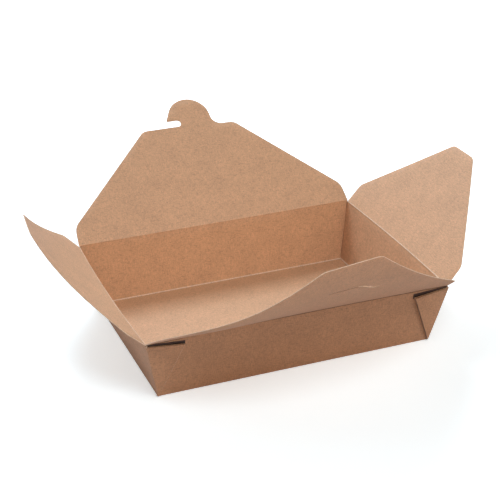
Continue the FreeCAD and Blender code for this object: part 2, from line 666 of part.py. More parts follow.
# Front flap: bent to the inside and slightly twisted, with the locking slit
front_flap = new_body("front_flap")
front_curl = ("front_near_radius", "front_near_turn", "front_far_radius", "front_far_turn",
              "front_outer_near", "front_outer_far")
front_right_end = new_sketch(
    front_flap, "YZ_Plane", "SideViewRight", lift="-long_blank_half", turn="front_twist",
)
draw_curl(front_right_end, *front_curl)
front_left_end = new_sketch(
    front_flap, "YZ_Plane", "SideViewLeft", lift="long_blank_half", turn="-front_twist",
)
draw_curl(front_left_end, *front_curl)
front_panel = loft(front_flap, "PartDesign::AdditiveLoft", "Panel", front_right_end, front_left_end)
front_trimmed = trim_flap(front_flap, "front_chord", [
    ("long_half", "-board", ""), ("long_side", "long_side_up", "side_round"),
    ("front_corner", "front_reach", "tip_round"), ("-front_corner", "front_reach", "tip_round"),
    ("-long_side", "long_side_up", "side_round"), ("-long_half", "-board", ""),
], "outline_half_long", "long_blank_far")

slit_path = new_sketch(front_flap, "XY_Plane", "SlitPath", tilt="front_chord")


def draw_slit(sketch):
    across = size("slit_bend") - size("slit_end")
    drop = size("slit_up") - size("slit_end_up")
    turn = 2 * math.atan2(drop, across)
    radius = across / 2 / math.sin(turn)
    bend = (size("slit_bend"), size("slit_up"))
    first_centre = (bend[0], bend[1] - radius)
    second_centre = (size("slit_end"), size("slit_end_up") + radius)
    straight = add_line(sketch, (size("slit_start"), bend[1]), bend)
    first = add_arc(sketch, first_centre, radius, 90, 90 + math.degrees(turn))
    second = add_arc(sketch, second_centre, radius, 270, 270 + math.degrees(turn))
    sketch.addConstraint(Sketcher.Constraint("Horizontal", straight))
    join(sketch, straight, 2, first, 1, kind="Tangent")
    join(sketch, first, 2, second, 2, kind="Tangent")
    sketch.addConstraint(Sketcher.Constraint("Equal", first, second))
    sketch.addConstraint(Sketcher.Constraint("Vertical", second, 1, second, 3))
    place_point(sketch, straight, 1, "slit_start", "slit_up")
    place_point(sketch, straight, 2, "slit_bend", "")
    place_point(sketch, second, 1, "slit_end", "slit_end_up")


draw_slit(slit_path)
slit_section = new_sketch(front_flap, "YZ_Plane", "SlitSection", lift="slit_start", turn="front_chord")
add_polygon(slit_section, [
    ("slit_low", "-slit_depth"), ("slit_high", "-slit_depth"),
    ("slit_high", "slit_depth"), ("slit_low", "slit_depth"),
])
slit = front_flap.newObject("PartDesign::SubtractivePipe", "Slit")
slit.Profile = (slit_section, [""])
slit.Spine = (slit_path, [""])
front_flap.Tip = slit
doc.recompute()


# Left flap: bent to the inside
left_flap = new_body("left_flap")
left_view = new_sketch(left_flap, "YZ_Plane", "SideView")
draw_curl(left_view, "left_near_radius", "left_near_turn", "left_far_radius", "left_far_turn",
          "left_outer_near", "left_outer_far")
left_panel = pad(left_flap, left_view, "Panel", "2 * sizes.end_blank_half")
left_trimmed = trim_flap(left_flap, "left_chord", [
    ("end_half", "-board", ""), ("end_side", "end_side_up", "side_round"),
    ("end_corner", "left_reach", "end_tip_round"), ("-end_corner", "left_reach", "end_tip_round"),
    ("-end_side", "end_side_up", "side_round"), ("-end_half", "-board", ""),
], "outline_half_end", "end_blank_far")
left_flap.Tip = left_trimmed


# Each flap turns about its fold; its root lies on the fold line of its wall
def hang(body, across, out, height, yaw, lean):
    body.setExpression(
        "Placement",
        f"placement(vector({across}; {out}; {height}); rotation({yaw}; 0; 90 - sizes.{lean}))",
    )


hang(front_flap, "0", "-sizes.long_fold_out", "sizes.fold_height", 180, "front_lean")
hang(back_flap, "0", "sizes.long_fold_out", "sizes.fold_height", 0, "back_lean")
hang(left_flap, "-sizes.end_fold_out", "0", "sizes.end_fold_height", 90, "left_lean")
hang(right_flap, "sizes.end_fold_out", "0", "sizes.end_fold_height", -90, "right_lean")
tray.Placement = FreeCAD.Placement()
doc.recompute()

bodies = [tray, front_flap, back_flap, left_flap, right_flap]
for item in doc.Objects:
    if "Invalid" in item.State or "Error" in item.State:
        raise RuntimeError(f"{item.Label}: {item.State}")
for body in bodies:
    if body.Shape.isNull() or not body.Shape.isValid() or len(body.Shape.Solids) != 1:
        raise RuntimeError(f"{body.Label}: the shape is not one valid solid")

os.makedirs("parts", exist_ok=True)
for body in bodies:
    body.Shape.exportStep(f"parts/{body.Label}.step")
    box = body.Shape.BoundBox
    print(body.Label, "volume", round(body.Shape.Volume, 2), "x", round(box.XMin, 2), round(box.XMax, 2),
          "y", round(box.YMin, 2), round(box.YMax, 2), "z", round(box.ZMin, 2), round(box.ZMax, 2))
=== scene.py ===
import json
import math

import bpy
from mathutils import Matrix, Vector

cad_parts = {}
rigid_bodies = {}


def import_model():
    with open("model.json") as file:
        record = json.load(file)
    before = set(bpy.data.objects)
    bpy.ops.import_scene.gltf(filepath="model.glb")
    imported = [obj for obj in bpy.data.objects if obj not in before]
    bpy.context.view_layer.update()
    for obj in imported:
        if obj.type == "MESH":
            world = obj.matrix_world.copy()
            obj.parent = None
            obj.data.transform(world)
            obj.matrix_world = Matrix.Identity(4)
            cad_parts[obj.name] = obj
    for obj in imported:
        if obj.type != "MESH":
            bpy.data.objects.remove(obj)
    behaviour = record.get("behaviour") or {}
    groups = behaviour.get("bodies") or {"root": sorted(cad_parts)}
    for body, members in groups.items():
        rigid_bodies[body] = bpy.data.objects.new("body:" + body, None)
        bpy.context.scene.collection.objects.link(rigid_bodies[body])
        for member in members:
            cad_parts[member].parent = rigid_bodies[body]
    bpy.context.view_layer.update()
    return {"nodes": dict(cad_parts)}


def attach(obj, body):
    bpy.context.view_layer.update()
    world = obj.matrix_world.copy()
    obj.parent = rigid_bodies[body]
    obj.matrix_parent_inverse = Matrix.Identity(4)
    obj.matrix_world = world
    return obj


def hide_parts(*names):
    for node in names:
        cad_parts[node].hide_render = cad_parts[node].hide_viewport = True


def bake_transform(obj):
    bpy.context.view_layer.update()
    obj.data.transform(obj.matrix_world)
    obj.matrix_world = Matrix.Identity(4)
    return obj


mm = 0.001
tiny = 0.01 * mm

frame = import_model()


# leaves one piece selected and active, in object mode
def workOn(piece):
    if bpy.context.object and bpy.context.object.mode != "OBJECT":
        bpy.ops.object.mode_set(mode="OBJECT")
    bpy.ops.object.select_all(action="DESELECT")
    piece.hide_set(False)
    piece.select_set(True)
    bpy.context.view_layer.objects.active = piece


# selects the vertices whose place passes the test and leaves the piece in edit mode
def pickVerts(piece, test):
    workOn(piece)
    bpy.ops.object.mode_set(mode="EDIT")
    bpy.ops.mesh.select_mode(type="VERT")
    bpy.ops.mesh.select_all(action="DESELECT")
    bpy.ops.object.mode_set(mode="OBJECT")
    for vert in piece.data.vertices:
        vert.select = bool(test(vert.co))
    bpy.ops.object.mode_set(mode="EDIT")


def cutAt(piece, place, normal, drop=False):
    workOn(piece)
    bpy.ops.object.mode_set(mode="EDIT")
    bpy.ops.mesh.select_all(action="SELECT")
    bpy.ops.mesh.bisect(plane_co=place, plane_no=normal, clear_outer=drop, threshold=0.001 * mm)
    bpy.ops.object.mode_set(mode="OBJECT")


# evenly spaced cuts across a mesh, so that it has rows and columns to bend along
def cutRows(piece, axis, first, last, step):
    count = max(1, round((last - first) / step))
    for i in range(1, count):
        place = [0, 0, 0]
        normal = [0, 0, 0]
        place[axis] = first + (last - first) * i / count
        normal[axis] = 1
        cutAt(piece, place, normal)


# fills what a cut left open and turns every face outwards
def closeUp(piece):
    workOn(piece)
    bpy.ops.object.mode_set(mode="EDIT")
    bpy.ops.mesh.select_all(action="SELECT")
    bpy.ops.mesh.fill_holes(sides=0)
    bpy.ops.mesh.select_all(action="SELECT")
    bpy.ops.mesh.normals_make_consistent(inside=False)
    bpy.ops.object.mode_set(mode="OBJECT")
    if sum(face.center.dot(face.normal) * face.area for face in piece.data.polygons) < 0:
        piece.data.flip_normals()


# puts the object's place, turn and size into its mesh
def settle(piece):
    workOn(piece)
    bpy.ops.object.transform_apply(location=True, rotation=True, scale=True)


def applyModifier(piece, kind, **settings):
    workOn(piece)
    modifier = piece.modifiers.new(kind.lower(), kind)
    for key, value in settings.items():
        setattr(modifier, key, value)
    bpy.ops.object.modifier_apply(modifier=modifier.name)


def smooth(piece, degrees):
    workOn(piece)
    bpy.ops.object.shade_smooth_by_angle(angle=math.radians(degrees))


boardLook = {
    "insideColour": (0.600, 0.342, 0.182),
    "outsideColour": (0.530, 0.272, 0.138),
    # pale cut edges; the same colour is painted highlight on the end fold lines, the left webs' slanting
    # folds and the beads' tops
    "edgeAndHighlightColour": (0.780, 0.600, 0.440),
    # painted shade, put on the rims, folds, the slit's straight part and the low side of the beads
    "paintedShadeColour": (0.170, 0.085, 0.046),
    "paintedGapShadeColour": (0.050, 0.024, 0.013),     # painted deep shade in the gap between a web and its wall
    "grain": 0.18, "grainScale": 2300,      # the fine speckle
    "mottle": 0.06, "mottleScale": 70,      # the cloudy patches
    "fleck": 0.27, "fleckScale": 1900,      # the single fibres
    "fleckLength": 5,                       # how many times longer than wide
    "roughness": (0.62, 0.76),
    "bump": 0.30, "bumpHeight": 0.05 * mm,
    "specular": 1.0,
    "sheen": 0.14, "sheenRoughness": 0.5,   # paper nap that pales the board where light grazes it
}


# kraft board: speckle, cloudy patches and fibres that lie both ways, all multiplied onto the colour
def boardMaterial(name, colour, look=boardLook):
    material = bpy.data.materials.new(name)
    material.use_nodes = True
    nodes = material.node_tree.nodes
    links = material.node_tree.links
    shader = nodes["Principled BSDF"]
    coords = nodes.new("ShaderNodeTexCoord")

    def noise(scale, detail, stretch=(1, 1, 1)):
        turn = nodes.new("ShaderNodeMapping")
        turn.inputs["Scale"].default_value = stretch
        links.new(coords.outputs["Object"], turn.inputs["Vector"])
        texture = nodes.new("ShaderNodeTexNoise")
        texture.inputs["Scale"].default_value = scale
        texture.inputs["Detail"].default_value = detail
        texture.inputs["Roughness"].default_value = 0.6
        links.new(turn.outputs["Vector"], texture.inputs["Vector"])
        return texture.outputs["Fac"]

    def spread(value, low, high, fromLow=0.3, fromHigh=0.7):
        node = nodes.new("ShaderNodeMapRange")
        node.inputs["From Min"].default_value = fromLow
        node.inputs["From Max"].default_value = fromHigh
        node.inputs["To Min"].default_value = low
        node.inputs["To Max"].default_value = high
        links.new(value, node.inputs["Value"])
        return node.outputs["Result"]

    def times(a, b):
        node = nodes.new("ShaderNodeMath")
        node.operation = "MULTIPLY"
        links.new(a, node.inputs[0])
        links.new(b, node.inputs[1])
        return node.outputs[0]

    thin = 1 / look["fleckLength"]
    fleck = look["fleck"]
    grain = noise(look["grainScale"], 3)
    fibres = noise(look["fleckScale"], 2, stretch=(thin, 1, 1))
    cross = noise(look["fleckScale"], 2, stretch=(1, thin, thin))
    clouds = noise(look["mottleScale"], 4)
    shade = times(spread(grain, 1 - look["grain"], 1 + look["grain"]),
                  spread(clouds, 1 - look["mottle"], 1 + look["mottle"]))
    shade = times(shade, spread(fibres, 1 - fleck, 1 + fleck * 0.3, 0.25, 0.5))
    shade = times(shade, spread(cross, 1 - fleck * 0.6, 1 + fleck * 0.5, 0.3, 0.75))

    paint = nodes.new("ShaderNodeMix")
    paint.data_type = "RGBA"
    paint.blend_type = "MULTIPLY"
    paint.inputs["Factor"].default_value = 1
    paint.inputs["A"].default_value = (*colour, 1)
    links.new(shade, paint.inputs["B"])
    links.new(paint.outputs["Result"], shader.inputs["Base Color"])
    links.new(spread(grain, *look["roughness"]), shader.inputs["Roughness"])
    shader.inputs["Specular IOR Level"].default_value = look["specular"]
    shader.inputs["Sheen Weight"].default_value = look["sheen"]
    shader.inputs["Sheen Roughness"].default_value = look["sheenRoughness"]

    bump = nodes.new("ShaderNodeBump")
    bump.inputs["Strength"].default_value = look["bump"]
    bump.inputs["Distance"].default_value = look["bumpHeight"]
    links.new(grain, bump.inputs["Height"])
    links.new(bump.outputs["Normal"], shader.inputs["Normal"])
    return material


kraftInside = boardMaterial("kraftInside", boardLook["insideColour"])
kraftOutside = boardMaterial("kraftOutside", boardLook["outsideColour"])
# the pale cut-edge board doubles as painted highlight, and the two dark boards below it are painted shade
kraftEdgeAndHighlight = boardMaterial("kraftEdgeAndHighlight", boardLook["edgeAndHighlightColour"])
kraftPaintedShade = boardMaterial("kraftPaintedShade", boardLook["paintedShadeColour"])
kraftPaintedGapShade = boardMaterial("kraftPaintedGapShade", boardLook["paintedGapShadeColour"])
boardMaterials = (kraftInside, kraftOutside, kraftEdgeAndHighlight, kraftPaintedShade, kraftPaintedGapShade)
insideFace, outsideFace, edgeAndHighlightFace, paintedShadeFace, paintedGapShadeFace = range(5)     # their places on a piece
print("materials ready")


# inside, outside and cut edges get their own finish; facing() says how far a face looks to the inside
def paintBoard(piece, facing):
    piece.data.materials.clear()
    for material in boardMaterials:
        piece.data.materials.append(material)
    for face in piece.data.polygons:
        side = facing(face)
        face.material_index = insideFace if side > 0.5 else outsideFace if side < -0.5 else edgeAndHighlightFace


def rideTray(piece):
    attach(piece, "tray")


sheet = {
    "board": 0.45 * mm,                             # thickness
    "turn": 3 * mm, "turnRows": 6,                  # board near a fold, cut into close rows where it bends
    "flapRows": 4 * mm, "flapColumns": 7 * mm,      # size of the faces that a flap bends along
    "curlSteps": 24,
    "cornerSteps": 8, "cornerPick": 0.5 * mm,       # rounded corners
    "softEdge": 0.09 * mm, "softAngle": 40, "smoothAngle": 32,
    "merge": 0.002 * mm, "flatAngle": 0.4,          # how CAD triangles are joined in a copy
}


# where the folds of the long and the end flaps lie: out from the middle of the box, and up
foldAt = {"long": 79.145 * mm, "longUp": 45.1 * mm, "end": 107.551 * mm, "endUp": 44.3 * mm}
# how far out each fold bows at its middle; the wall below it bows with it
foldBow = {"front": -1.2 * mm, "back": -0.6 * mm, "left": 1.9 * mm, "right": 1.6 * mm}


# softened paper edges and smooth shading over the bends
def finishEdges(piece):
    applyModifier(piece, "BEVEL", width=sheet["softEdge"], segments=2, limit_method="ANGLE",
                  angle_limit=math.radians(sheet["softAngle"]), use_clamp_overlap=True,
                  harden_normals=False)
    smooth(piece, sheet["smoothAngle"])


# A flap starts flat, with its fold on the X axis and its inside face up. It is cut, given its thickness
# and its rows, and then each of its points is moved to its place on the bent flap.
def startPanel(name, f):
    half, side, sideUp, corner, reach = (f[key] for key in ("half", "side", "sideUp", "corner", "reach"))
    workOn(frame["nodes"]["tray"])
    bpy.ops.mesh.primitive_plane_add(size=1, location=(0, reach / 2, 0))
    panel = bpy.context.object
    panel.name = name
    panel.scale = (2 * half, reach, 1)
    settle(panel)
    for way in (-1, 1):
        cutAt(panel, (way * half, 0, 0), (way * sideUp, half - side, 0), drop=True)
        cutAt(panel, (way * side, sideUp, 0), (way * (reach - sideUp), side - corner, 0), drop=True)
    slope = math.atan2(side - corner, reach - sideUp)
    near = sheet["cornerPick"]
    bends = ((side, sideUp, f["sideRound"], slope), (corner, reach, f["tipRound"], math.pi / 2 - slope))
    for x, y, rounding, turn in bends:
        pickVerts(panel, lambda co: abs(abs(co.x) - x) < near and abs(co.y - y) < near)
        bpy.ops.mesh.bevel(affect="VERTICES", offset=rounding * math.tan(turn / 2),
                           segments=sheet["cornerSteps"])
        bpy.ops.object.mode_set(mode="OBJECT")
    return panel


def thicken(panel):
    applyModifier(panel, "SOLIDIFY", thickness=sheet["board"], offset=0)
    paintBoard(panel, lambda face: face.normal.z)


# rows and columns to bend along, with close rows at the fold
def rowFlap(panel, f):
    for i in range(1, sheet["turnRows"] + 1):
        cutAt(panel, (0, sheet["turn"] * i / sheet["turnRows"], 0), (0, 1, 0))
    cutRows(panel, 1, 0, f["reach"], sheet["flapRows"])
    cutRows(panel, 0, -f["half"], f["half"], sheet["flapColumns"])


# puts the flap's place into its mesh and hides the CAD part that it stands in for
def foldOn(panel, body, lean):
    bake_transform(panel)
    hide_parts(body)


# how far a fold is bowed outwards; u runs from -1 to 1 along it
def bowAt(bow, u):
    return bow * max(0, 1 - u * u)


# every point goes along the board at the lean that leanAt(u, v) gives,
# u across the flap and v from its fold to its free edge
def curlPanel(panel, f):
    along = Vector(f["along"])
    out = Vector(f["out"])
    up = Vector((0, 0, 1))
    fold = Vector(f["fold"])
    steps = sheet["curlSteps"]
    for vert in panel.data.vertices:
        u = vert.co.x / f["half"]
        reach = vert.co.y
        rise = run = 0.0
        for i in range(steps):
            lean = f["leanAt"](u, reach * (i + 0.5) / steps / f["reach"])
            rise += math.cos(lean) * reach / steps
            run += math.sin(lean) * reach / steps
        lean = f["leanAt"](u, reach / f["reach"])
        run += bowAt(f["bow"], u) - vert.co.z * math.cos(lean)
        rise += vert.co.z * math.sin(lean)
        vert.co = fold + along * vert.co.x + out * run + up * rise
    panel.data.update()


frontFlap = {
    # half width at the fold and where the corners start, their height, half width of the free edge
    "half": 107.4 * mm, "side": 106.4 * mm, "sideUp": 14.6 * mm, "corner": 19.8 * mm,
    "reach": 101.2 * mm, "sideRound": 8 * mm, "tipRound": 8 * mm,
    "fold": (0, -foldAt["long"], foldAt["longUp"]), "bow": foldBow["front"],
    "along": (-1, 0, 0), "out": (0, -1, 0),
    # radians out from the vertical: bent inwards, twisted, and lifted at its left end
    "leanAt": lambda u, v: (1.04 + 0.105 * u - (0.224 + 0.012 * u) * v - 0.333 * v * v
                            - 0.52 * max(0, u - 0.45) ** 2),
    # the slit runs straight from its start to its bend, then in an S down to its end
    "slitStart": 6.2 * mm, "slitBend": -14 * mm, "slitEnd": -32.4 * mm,
    "slitUp": 67.2 * mm, "slitEndUp": 57.6 * mm, "slitWidth": 0.6 * mm, "slitSteps": 14,
    "slitLip": 0.7 * mm, "bladeHeight": 10 * mm,    # how far its lower lip stands out, and what cuts it
}


# height of the slit above the fold
def slitLine(x, f):
    share = min(1, max(0, (f["slitBend"] - x) / (f["slitBend"] - f["slitEnd"])))
    return f["slitUp"] - (f["slitUp"] - f["slitEndUp"]) * share * share * (3 - 2 * share)


# a thin blade along the slit is taken out of the board
def cutSlit(panel, f):
    bpy.ops.mesh.primitive_cube_add(size=1, location=(0, 0, 0))
    blade = bpy.context.object
    straight = f["slitStart"] - f["slitBend"]
    blade.scale = (straight, f["slitWidth"], f["bladeHeight"])
    blade.location = (f["slitStart"] - straight / 2, f["slitUp"], 0)
    settle(blade)
    pickVerts(blade, lambda co: co.x < f["slitBend"] + tiny)
    before = (f["slitBend"], f["slitUp"])
    for i in range(1, f["slitSteps"] + 1):
        x = f["slitBend"] + (f["slitEnd"] - f["slitBend"]) * i / f["slitSteps"]
        now = (x, slitLine(x, f))
        bpy.ops.mesh.extrude_region_move(
            TRANSFORM_OT_translate={"value": (now[0] - before[0], now[1] - before[1], 0)})
        before = now
    bpy.ops.object.mode_set(mode="OBJECT")
    applyModifier(panel, "BOOLEAN", operation="DIFFERENCE", object=blade, solver="EXACT")
    bpy.data.objects.remove(blade)


# painted shade on the cut faces of the slit's straight part, which is pressed shut
def paintSlitShade(panel, f):
    for face in panel.data.polygons:
        x, y, z = face.center
        onSlit = f["slitBend"] < x < f["slitStart"] and abs(y - f["slitUp"]) < 2 * f["slitWidth"]
        if abs(face.normal.z) < 0.5 and onSlit:
            face.material_index = paintedShadeFace


# the S stands open a little, its lower lip pushed out
def openSlit(panel, f):
    for vert in panel.data.vertices:
        x, y, z = vert.co
        below = slitLine(x, f) - y
        if f["slitEnd"] < x < f["slitBend"] and 0 < below < f["slitWidth"]:
            share = (f["slitBend"] - x) / (f["slitBend"] - f["slitEnd"])
            vert.co.z -= f["slitLip"] * math.sin(math.pi * share)


def makeFrontFlap(f):
    panel = startPanel("frontFlapBoard", f)
    thicken(panel)
    cutSlit(panel, f)
    paintBoard(panel, lambda face: face.normal.z)
    paintSlitShade(panel, f)
    rowFlap(panel, f)
    openSlit(panel, f)
    curlPanel(panel, f)
    finishEdges(panel)
    foldOn(panel, "front_flap", f["leanAt"](0, 0))
    return panel


frontFlapBoard = makeFrontFlap(frontFlap)
print("front flap", len(frontFlapBoard.data.polygons))

leftFlap = {
    "half": 78.3 * mm, "side": 77.7 * mm, "sideUp": 15.7 * mm, "corner": 13.4 * mm,
    "reach": 80 * mm, "sideRound": 6 * mm, "tipRound": 7 * mm,
    "fold": (-foldAt["end"], 0, foldAt["endUp"]), "bow": foldBow["left"],
    "along": (0, 1, 0), "out": (-1, 0, 0),
    "leanAt": lambda u, v: 0.796 - 0.027 * u + (0.114 - 0.144 * u) * v - 0.477 * v * v,
}
rightFlap = dict(leftFlap, fold=(foldAt["end"], 0, foldAt["endUp"]), bow=foldBow["right"],
                 along=(0, -1, 0), out=(1, 0, 0), leanAt=lambda u, v: 0.710 - 0.01 * v * v)


def makeEndFlap(name, body, f):
    panel = startPanel(name, f)
    thicken(panel)
    rowFlap(panel, f)
    curlPanel(panel, f)
    finishEdges(panel)
    foldOn(panel, body, f["leanAt"](0, 0))
    return panel


leftFlapBoard = makeEndFlap("leftFlapBoard", "left_flap", leftFlap)
rightFlapBoard = makeEndFlap("rightFlapBoard", "right_flap", rightFlap)
print("end flaps", len(leftFlapBoard.data.polygons), len(rightFlapBoard.data.polygons))


# a merged copy of a CAD node's mesh, to shape further
def copyNode(node, name):
    workOn(frame["nodes"][node])
    bpy.ops.object.duplicate()
    piece = bpy.context.object
    piece.name = name
    bpy.ops.object.parent_clear(type="CLEAR_KEEP_TRANSFORM")
    settle(piece)
    bpy.ops.mesh.customdata_custom_splitnormals_clear()
    bpy.ops.object.mode_set(mode="EDIT")
    bpy.ops.mesh.select_all(action="SELECT")
    bpy.ops.mesh.remove_doubles(threshold=sheet["merge"])
    bpy.ops.mesh.dissolve_limited(angle_limit=math.radians(sheet["flatAngle"]))
    bpy.ops.object.mode_set(mode="OBJECT")
    return piece


backFlap = {
    "half": 107.4 * mm, "lean": 50.5,
    "fold": (0, foldAt["long"], foldAt["longUp"]), "bow": foldBow["back"], "out": (0, 1, 0),
    "rows": (48 * mm, 115 * mm, 5 * mm),            # first, last and step
}


def makeBackFlap(f):
    panel = copyNode("back_flap", "backFlapBoard")
    lean = math.radians(f["lean"])
    inside = Vector((0, -math.cos(lean), math.sin(lean)))
    way = Vector((0, math.sin(lean), math.cos(lean)))
    paintBoard(panel, lambda face: face.normal.dot(inside))
    cutRows(panel, 0, -f["half"], f["half"], sheet["flapColumns"])
    for i in range(1, sheet["turnRows"] + 1):
        cutAt(panel, Vector(f["fold"]) + way * (sheet["turn"] * i / sheet["turnRows"]), way)
    cutRows(panel, 2, *f["rows"])
    for vert in panel.data.vertices:
        vert.co.y += bowAt(f["bow"], vert.co.x / f["half"])
    finishEdges(panel)
    foldOn(panel, "back_flap", lean)
    return panel


backFlapBoard = makeBackFlap(backFlap)
print("back flap", len(backFlapBoard.data.polygons))

trayBox = {
    # half width of the base, outward run of a wall per height, height of the folds, half sizes of the rim
    "halfWidth": 69.85 * mm, "slope": 0.2112, "height": foldAt["longUp"],
    "rimHalf": 107.95 * mm, "rimHalfWide": 79.375 * mm, "wallRun": 9.525 * mm,
    "rows": (2 * mm, 44 * mm, 5 * mm), "columns": 8 * mm,
    "floorTop": 2 * mm, "rimFrom": 40 * mm,         # level faces below and above these are floor and rim
    "nearWall": 0.35 * mm,                          # a face this near to a wall's middle is part of it
    "offWall": 0.1 * mm, "offInner": 0.8 * mm,      # play at the wall's outside, and how far out from it
                                                    # a web's outer layer begins
    "webMargin": 4 * mm,                            # shift of a web's limits towards the wall's middle
    "plan": (4, 3),                                 # the box's rough proportions from above
    # place of a web's slanting fold at its top and its foot, where the web springs from and fades out
    "webTop": 84 * mm, "webFootAt": 96.4 * mm, "webStart": 78 * mm, "webEnd": 107 * mm,
    "cornerAt": 98.4 * mm, "cornerRun": 9.5 * mm,   # the tray's corner at its foot, and its run up
    "webFoot": 1.7 * mm,                            # shift of the slanting fold's foot
    "webDrop": 0.7 * mm, "webDropFrom": 0.8,        # sag of the top edge, and where up the wall it starts
    "webFull": 1.15, "webRamp": 6,                  # how soon the spring is whole, along and up the wall
    "webInner": 0.55,                               # share of the spring that the inner layer has
    # how far each corner web stands off its wall at the top and at the foot of its slanting fold
    "webProud": {(-1, -1): (0.7 * mm, 0.1 * mm), (1, -1): (1.9 * mm, 0.7 * mm),
                 (-1, 1): (1.3 * mm, 0.4 * mm), (1, 1): (1.0 * mm, 0.3 * mm)},
    # the gap above the left and right webs, painted in deep shade: start, upper end there and rise
    # towards the corner
    "gap": {-1: (81.2 * mm, 42.7 * mm, 0.095), 1: (81.6 * mm, 42.8 * mm, 0.085)},
    "gapFrom": 38 * mm,                             # the gap's lower end
    "bowPower": 1.5, "wallZone": 2 * mm,            # how a bow grows up its wall, and how far in it holds
}


# how far a face of the tray looks towards the middle of the box
def trayFacing(face):
    n = face.normal
    c = face.center
    if abs(n.z) > 0.9:
        return 0 if c.z >= trayBox["floorTop"] else 1 if n.z > 0 else -1
    long, wide = trayBox["plan"]
    return -1 if n.x * c.x / long + n.y * c.y / wide > 0 else 1


# painted shade on the walls' rims and, deep, on the wall above each web's top edge;
# the webs' slanting folds get painted shade at the right and a painted highlight at the left
def paintFoldShadeAndHighlight(tray, f):
    for face in tray.data.polygons:
        x, y, z = face.center
        n = face.normal
        lean = f["slope"] * z - sheet["board"] / 2
        longWall = abs(abs(y) - f["halfWidth"] - lean) < f["nearWall"]
        endWall = abs(abs(x) - f["rimHalf"] + f["wallRun"] - lean) < f["nearWall"]
        # painted shade on the rims
        if z > f["rimFrom"] and abs(n.z) > 0.7 and (longWall or endWall):
            face.material_index = paintedShadeFace
        # painted deep shade on the wall just above each web
        gapStart, gapHeight, gapRise = f["gap"][1 if x > 0 else -1]
        inGap = abs(x) > gapStart and f["gapFrom"] < z < gapHeight + (abs(x) - gapStart) * gapRise
        if longWall and inGap and face.material_index == outsideFace:
            face.material_index = paintedGapShadeFace
        offWall = abs(y) > f["halfWidth"] + f["slope"] * z - f["offWall"]
        onWeb = offWall and not endWall and abs(x) < f["webEnd"] - f["webMargin"]
        # painted shade on the right webs' slanting folds, painted highlight on the left ones
        if onWeb and abs(n.x) > 0.2 and abs(n.z) < 0.7:
            face.material_index = paintedShadeFace if x > 0 else edgeAndHighlightFace


# the corner webs spring off the long walls, most at the top of their slanting fold
def springWebs(tray, f):
    for vert in tray.data.vertices:
        x, y, z = vert.co
        wall = f["halfWidth"] + f["slope"] * z
        if abs(y) < wall + f["offWall"] or abs(x) < f["webStart"] - f["webMargin"]:
            continue
        share = min(1, max(0, (f["webEnd"] - abs(x)) / (f["webEnd"] - f["webStart"])))
        share = min(1, share * f["webFull"])
        height = min(1, max(0, z / f["height"]))
        high, low = f["webProud"][(-1 if x < 0 else 1, -1 if y < 0 else 1)]
        proud = (low + (high - low) * height) * min(1, height * f["webRamp"])
        layer = 1 if abs(y) > wall + f["offInner"] else f["webInner"]
        vert.co.y += math.copysign(proud * share * layer, y)
        # the slanting fold runs down to the corner, and the top edge sags towards it
        edge = f["webFootAt"] + (f["webTop"] - f["webFootAt"]) * height
        corner = f["cornerAt"] + f["cornerRun"] * height
        near = min(1, max(0, (corner - abs(x)) / (corner - edge)))
        vert.co.x += math.copysign(f["webFoot"] * (1 - height) * near, x)
        vert.co.z -= f["webDrop"] * share * max(0, height - f["webDropFrom"]) / (1 - f["webDropFrom"])


# thin walls are never quite straight: each one bows a little towards its rim
def bowWalls(tray, f):
    for vert in tray.data.vertices:
        x, y, z = vert.co
        rise = max(0, z / f["height"]) ** f["bowPower"]
        inner = f["slope"] * z - f["wallZone"]
        if abs(y) > f["halfWidth"] + inner:
            bow = foldBow["front"] if y < 0 else foldBow["back"]
            vert.co.y += math.copysign(1, y) * bowAt(bow, x / f["rimHalf"]) * rise
        elif abs(x) > f["rimHalf"] - f["wallRun"] + inner:
            bow = foldBow["left"] if x < 0 else foldBow["right"]
            vert.co.x += math.copysign(1, x) * bowAt(bow, y / f["rimHalfWide"]) * rise


def makeTray(f):
    tray = copyNode("tray", "trayBoard")
    cutRows(tray, 2, *f["rows"])
    cutRows(tray, 0, -f["rimHalf"], f["rimHalf"], f["columns"])
    cutRows(tray, 1, -f["rimHalfWide"], f["rimHalfWide"], f["columns"])
    for way, (gapStart, gapHeight, gapRise) in f["gap"].items():
        cutAt(tray, (way * gapStart, 0, 0), (1, 0, 0))
        cutAt(tray, (way * gapStart, 0, gapHeight), (-way * gapRise, 0, 1))
    paintBoard(tray, trayFacing)
    paintFoldShadeAndHighlight(tray, f)
    springWebs(tray, f)
    bowWalls(tray, f)
    finishEdges(tray)
    rideTray(tray)
    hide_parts("tray")
    return tray


trayBoard = makeTray(trayBox)
print("tray", len(trayBoard.data.polygons))

foldLine = {
    "radius": 0.2 * mm, "sides": 16, "lower": 0.62 * mm, "lean": 11.925, "columns": 8 * mm,
    "recess": 0.2 * mm, "ridge": 0.3 * mm,          # pressed in outside, standing out inside
    "smoothAngle": 40,
    # name: half length, place, turn, bow and material of the inner side (painted shade at the front,
    # painted highlight at the left and right)
    "lines": {
        "foldLineFront": (107.2 * mm, frontFlap["fold"], 180, foldBow["front"], kraftPaintedShade),
        "foldLineBack": (107.2 * mm, backFlap["fold"], 0, foldBow["back"], kraftInside),
        "foldLineLeft": (78.1 * mm, leftFlap["fold"], 90, foldBow["left"], kraftEdgeAndHighlight),
        "foldLineRight": (78.1 * mm, rightFlap["fold"], -90, foldBow["right"], kraftEdgeAndHighlight),
    },
}


